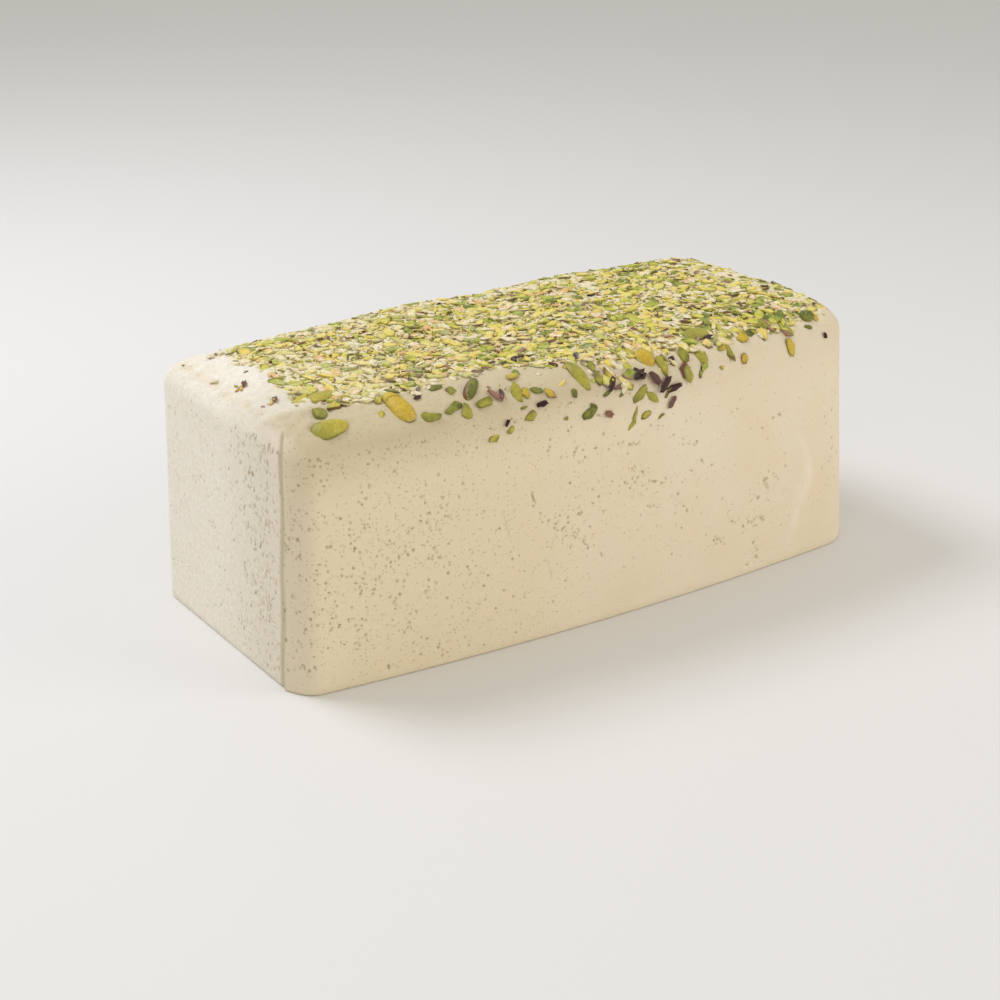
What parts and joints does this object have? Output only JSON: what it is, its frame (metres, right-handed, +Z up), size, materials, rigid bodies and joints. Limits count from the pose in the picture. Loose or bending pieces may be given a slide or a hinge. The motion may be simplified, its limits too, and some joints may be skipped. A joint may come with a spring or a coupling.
{
  "type": "pistachio halva loaf",
  "caption": "Long loaf of pale sesame halva with rounded edges and bowed sides, its top pressed full of chopped and whole pistachios.",
  "frame": {"origin": "middle of the loaf's flat base", "axes": "+Z up, X along the loaf with the bare end at -X, -Y the long side that has the most nuts below its edge"},
  "size_m": [0.2802, 0.1324, 0.1091],
  "materials": {
    "halva": "matt, slightly crumbly and pitted",
    "pistachio": "dull satin"
  },
  "bodies": {
    "root": {"halva_loaf": "halva", "kernel_1": "pistachio", "kernel_2": "pistachio", "kernel_3": "pistachio", "kernel_4": "pistachio", "kernel_5": "pistachio", "kernel_6": "pistachio", "kernel_7": "pistachio"}
  },
  "joints": []
}
